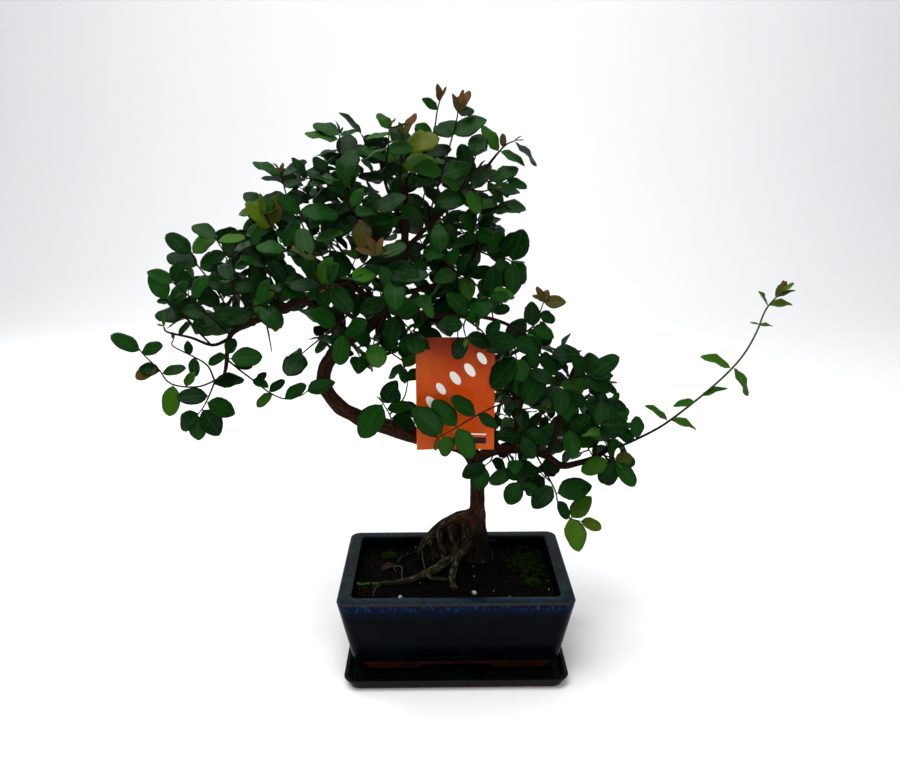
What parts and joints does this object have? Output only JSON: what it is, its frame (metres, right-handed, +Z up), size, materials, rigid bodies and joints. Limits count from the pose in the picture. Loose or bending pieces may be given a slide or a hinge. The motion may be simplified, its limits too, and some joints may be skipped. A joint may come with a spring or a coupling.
{
  "type": "potted bonsai tree",
  "caption": "Bonsai tree with a bent trunk, surface roots and paired oval leaves, in a glazed rectangular pot on its saucer.",
  "frame": {"origin": "on the saucer's underside, below the middle of the pot", "axes": "+X along the pot's long side, towards the long young shoot; -Y the front, where the surface roots and the card are; +Z up"},
  "size_m": [0.585, 0.2092, 0.4925],
  "materials": {
    "bark": "thin rough bark, reddish brown, paler on the roots",
    "leaf": "leathery semi-gloss leaf, dark green above and paler below",
    "glaze": "glossy dark blue glaze with lighter blue runs at the rim, bare red clay at the foot",
    "saucer_glaze": "glossy black-green glaze, bare clay underneath",
    "soil": "damp dark potting soil",
    "moss": "soft matte moss",
    "pumice": "matte pale crumbs",
    "dry_leaf": "dry matte leaf",
    "card": "glossy coated card, orange",
    "tie": "plastic-coated wire, dark green",
    "mesh": "black plastic screen"
  },
  "bodies": {
    "root": {"drainage_mesh_left": "mesh", "drainage_mesh_right": "mesh", "dry_leaf": "dry_leaf", "label_card": "card", "label_tie": "tie", "long_shoot": "leaf", "moss_left_back": "moss", "moss_right": "moss", "moss_right_back": "moss", "pot": "glaze", "pumice_front": "pumice", "pumice_left": "pumice", "saucer": "saucer_glaze", "soil": "soil", "spray_back_left": "leaf", "spray_back_right": "leaf", "spray_crown_back": "leaf", "spray_crown_left_back": "leaf", "spray_crown_left_front": "leaf", "spray_crown_left_side": "leaf", "spray_crown_left_tip": "leaf", "spray_crown_right_back": "leaf", "spray_crown_right_front": "leaf", "spray_crown_right_low": "leaf", "spray_crown_right_tip": "leaf", "spray_crown_top": "leaf", "spray_front_left": "leaf", "spray_front_mid": "leaf", "spray_label_limb": "leaf", "spray_left_back": "leaf", "spray_left_high": "leaf", "spray_left_inner": "leaf", "spray_left_mid": "leaf", "spray_left_outer": "leaf", "spray_left_oval": "leaf", "spray_left_peak": "leaf", "spray_left_rise": "leaf", "spray_left_sweep": "leaf", "spray_left_tip": "leaf", "spray_low_middle": "leaf", "spray_low_right": "leaf", "spray_right_inner": "leaf", "spray_right_mid": "leaf", "spray_right_riser_low": "leaf", "spray_right_riser_mid": "leaf", "spray_right_riser_tip": "leaf", "spray_trunk_bend": "leaf", "spray_trunk_front": "leaf", "spray_upper_left_edge": "leaf", "spray_upper_left_fork": "leaf", "spray_upper_left_front": "leaf", "spray_upper_left_low": "leaf", "spray_upper_left_rosette": "leaf", "spray_young_left": "leaf", "spray_young_tall": "leaf", "spray_young_thin": "leaf", "trunk": "bark"}
  },
  "joints": []
}
